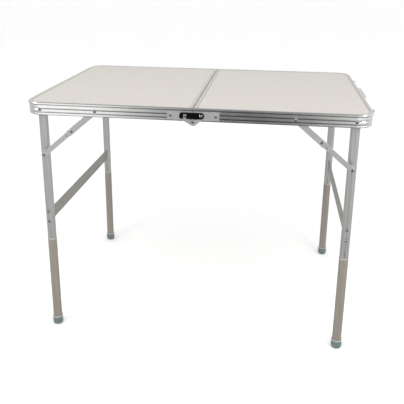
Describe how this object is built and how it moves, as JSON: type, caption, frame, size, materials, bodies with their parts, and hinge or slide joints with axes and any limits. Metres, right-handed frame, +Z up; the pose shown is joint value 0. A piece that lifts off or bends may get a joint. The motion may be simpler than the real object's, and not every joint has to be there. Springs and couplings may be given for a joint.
{
  "type": "folding table",
  "caption": "Suitcase-style folding camp table: laminate top in ribbed aluminium rails, folding leg frames with stays, pull-off extension legs and centre lock hooks.",
  "frame": {"origin": "on the floor under the middle of the seam between the two halves", "axes": "+X along the long side towards the end with the carrying handle, +Y from the front to the rear, +Z up"},
  "size_m": [0.9118, 0.6094, 0.675],
  "materials": {
    "laminate": "printed melamine-faced board, satin, faint grey speckle",
    "polished_aluminium": "bright ribbed extrusion",
    "satin_aluminium": "satin, drawn tube or extrusion",
    "zinc_steel": "zinc plated sheet, satin",
    "bright_rivet": "domed bright head",
    "warm_grey_tube": "warm grey satin coated tube",
    "collar_plastic": "light grey moulded",
    "cap_plastic": "blue-grey moulded, slight sheen",
    "black_plastic": "black moulded",
    "grip_plastic": "light grey moulded"
  },
  "bodies": {
    "left_half": {"left_panel": "laminate", "left_edge_rail": "polished_aluminium", "left_centre_rail": "satin_aluminium", "hinge_plate_left_front": "zinc_steel", "leg_pivot_rivet_left_front": "bright_rivet", "stay_rivet_left_front": "bright_rivet", "hinge_plate_left_rear": "zinc_steel", "leg_pivot_rivet_left_rear": "bright_rivet", "stay_rivet_left_rear": "bright_rivet", "hinge_pin_front": "bright_rivet", "catch_plate_front": "zinc_steel", "hinge_pin_rear": "bright_rivet", "catch_plate_rear": "zinc_steel"},
    "right_half": {"right_panel": "laminate", "right_edge_rail": "polished_aluminium", "right_centre_rail": "satin_aluminium", "hinge_plate_right_front": "zinc_steel", "leg_pivot_rivet_right_front": "bright_rivet", "stay_rivet_right_front": "bright_rivet", "hinge_plate_right_rear": "zinc_steel", "leg_pivot_rivet_right_rear": "bright_rivet", "stay_rivet_right_rear": "bright_rivet", "latch_base_front": "zinc_steel", "handle_bracket_front": "grip_plastic", "latch_base_rear": "zinc_steel", "handle_bracket_rear": "grip_plastic"},
    "left_leg_frame": {"crossbar_left": "satin_aluminium", "upper_leg_left_front": "satin_aluminium", "leg_plug_left_front": "collar_plastic", "upper_leg_left_rear": "satin_aluminium", "leg_plug_left_rear": "collar_plastic"},
    "extension_leg_left_front": {"lower_leg_left_front": "warm_grey_tube", "foot_cap_left_front": "cap_plastic"},
    "upper_link_left_front": {"upper_stay_left_front": "satin_aluminium"},
    "lower_link_left_front": {"lower_stay_left_front": "satin_aluminium"},
    "extension_leg_left_rear": {"lower_leg_left_rear": "warm_grey_tube", "foot_cap_left_rear": "cap_plastic"},
    "upper_link_left_rear": {"upper_stay_left_rear": "satin_aluminium"},
    "lower_link_left_rear": {"lower_stay_left_rear": "satin_aluminium"},
    "right_leg_frame": {"crossbar_right": "satin_aluminium", "upper_leg_right_front": "satin_aluminium", "leg_plug_right_front": "collar_plastic", "upper_leg_right_rear": "satin_aluminium", "leg_plug_right_rear": "collar_plastic"},
    "extension_leg_right_front": {"lower_leg_right_front": "warm_grey_tube", "foot_cap_right_front": "cap_plastic"},
    "upper_link_right_front": {"upper_stay_right_front": "satin_aluminium"},
    "lower_link_right_front": {"lower_stay_right_front": "satin_aluminium"},
    "extension_leg_right_rear": {"lower_leg_right_rear": "warm_grey_tube", "foot_cap_right_rear": "cap_plastic"},
    "upper_link_right_rear": {"upper_stay_right_rear": "satin_aluminium"},
    "lower_link_right_rear": {"lower_stay_right_rear": "satin_aluminium"},
    "hook_front": {"lock_hook_front": "black_plastic"},
    "hasp_front": {"latch_hasp_front": "zinc_steel"},
    "hook_rear": {"lock_hook_rear": "black_plastic"},
    "hasp_rear": {"latch_hasp_rear": "zinc_steel"},
    "handle": {"handle_grip": "grip_plastic"}
  },
  "joints": [
    {"name": "table_fold", "type": "hinge", "parent": "left_half", "child": "right_half", "pos_m": [0, 0, 0.64], "axis": [0, 1, 0], "range_deg": [0, 55]},
    {"name": "left_legs_fold", "type": "hinge", "parent": "left_half", "child": "left_leg_frame", "pos_m": [-0.405, 0, 0.6555], "axis": [0, 1, 0], "range_deg": [-85, 0]},
    {"name": "upper_stay_left_front_turn", "type": "hinge", "parent": "left_half", "child": "upper_link_left_front", "pos_m": [-0.257, -0.2938, 0.6555], "axis": [0, 1, 0], "range_deg": [-121.5, 0]},
    {"name": "lower_stay_left_front_turn", "type": "hinge", "parent": "upper_link_left_front", "child": "lower_link_left_front", "pos_m": [-0.3239, -0.2921, 0.59823], "axis": [0, 1, 0], "range_deg": [0, 170.8]},
    {"name": "extension_left_front_pull", "type": "slide", "parent": "left_leg_frame", "child": "extension_leg_left_front", "axis": [0, 0, -1], "range_m": [0, 0.06]},
    {"name": "upper_stay_left_rear_turn", "type": "hinge", "parent": "left_half", "child": "upper_link_left_rear", "pos_m": [-0.257, 0.2938, 0.6555], "axis": [0, 1, 0], "range_deg": [-121.5, 0]},
    {"name": "lower_stay_left_rear_turn", "type": "hinge", "parent": "upper_link_left_rear", "child": "lower_link_left_rear", "pos_m": [-0.3239, 0.2921, 0.59823], "axis": [0, 1, 0], "range_deg": [0, 170.8]},
    {"name": "extension_left_rear_pull", "type": "slide", "parent": "left_leg_frame", "child": "extension_leg_left_rear", "axis": [0, 0, -1], "range_m": [0, 0.06]},
    {"name": "right_legs_fold", "type": "hinge", "parent": "right_half", "child": "right_leg_frame", "pos_m": [0.405, 0, 0.6555], "axis": [0, -1, 0], "range_deg": [-60, 0]},
    {"name": "upper_stay_right_front_turn", "type": "hinge", "parent": "right_half", "child": "upper_link_right_front", "pos_m": [0.257, -0.2938, 0.6555], "axis": [0, -1, 0], "range_deg": [-100.3, 0]},
    {"name": "lower_stay_right_front_turn", "type": "hinge", "parent": "upper_link_right_front", "child": "lower_link_right_front", "pos_m": [0.3239, -0.2921, 0.59823], "axis": [0, -1, 0], "range_deg": [0, 136.7]},
    {"name": "extension_right_front_pull", "type": "slide", "parent": "right_leg_frame", "child": "extension_leg_right_front", "axis": [0, 0, -1], "range_m": [0, 0.06]},
    {"name": "upper_stay_right_rear_turn", "type": "hinge", "parent": "right_half", "child": "upper_link_right_rear", "pos_m": [0.257, 0.2938, 0.6555], "axis": [0, -1, 0], "range_deg": [-100.3, 0]},
    {"name": "lower_stay_right_rear_turn", "type": "hinge", "parent": "upper_link_right_rear", "child": "lower_link_right_rear", "pos_m": [0.3239, 0.2921, 0.59823], "axis": [0, -1, 0], "range_deg": [0, 136.7]},
    {"name": "extension_right_rear_pull", "type": "slide", "parent": "right_leg_frame", "child": "extension_leg_right_rear", "axis": [0, 0, -1], "range_m": [0, 0.06]},
    {"name": "hook_front_lift", "type": "hinge", "parent": "right_half", "child": "hook_front", "pos_m": [0.0205, -0.3015, 0.6555], "axis": [0, 1, 0], "range_deg": [0, 55]},
    {"name": "hasp_front_swing", "type": "hinge", "parent": "right_half", "child": "hasp_front", "pos_m": [0.4522, -0.2, 0.6485], "axis": [0, 1, 0], "range_deg": [0, 170]},
    {"name": "hook_rear_lift", "type": "hinge", "parent": "right_half", "child": "hook_rear", "pos_m": [0.0205, 0.3015, 0.6555], "axis": [0, 1, 0], "range_deg": [0, 55]},
    {"name": "hasp_rear_swing", "type": "hinge", "parent": "right_half", "child": "hasp_rear", "pos_m": [0.4522, 0.2, 0.6485], "axis": [0, 1, 0], "range_deg": [0, 170]},
    {"name": "handle_swing", "type": "hinge", "parent": "right_half", "child": "handle", "pos_m": [0.4542, 0, 0.6445], "axis": [0, 1, 0], "range_deg": [0, 110]}
  ],
  "couplings": [
    {"joint": "upper_stay_left_front_turn", "follows": "left_legs_fold", "ratio": 1.4286},
    {"joint": "lower_stay_left_front_turn", "follows": "left_legs_fold", "ratio": -2.0084},
    {"joint": "upper_stay_left_rear_turn", "follows": "left_legs_fold", "ratio": 1.4286},
    {"joint": "lower_stay_left_rear_turn", "follows": "left_legs_fold", "ratio": -2.0084},
    {"joint": "upper_stay_right_front_turn", "follows": "right_legs_fold", "ratio": 1.6701},
    {"joint": "lower_stay_right_front_turn", "follows": "right_legs_fold", "ratio": -2.2776},
    {"joint": "upper_stay_right_rear_turn", "follows": "right_legs_fold", "ratio": 1.6701},
    {"joint": "lower_stay_right_rear_turn", "follows": "right_legs_fold", "ratio": -2.2776},
    {"joint": "hook_front_lift", "follows": "table_fold", "ratio": 1},
    {"joint": "hook_rear_lift", "follows": "table_fold", "ratio": 1}
  ]
}
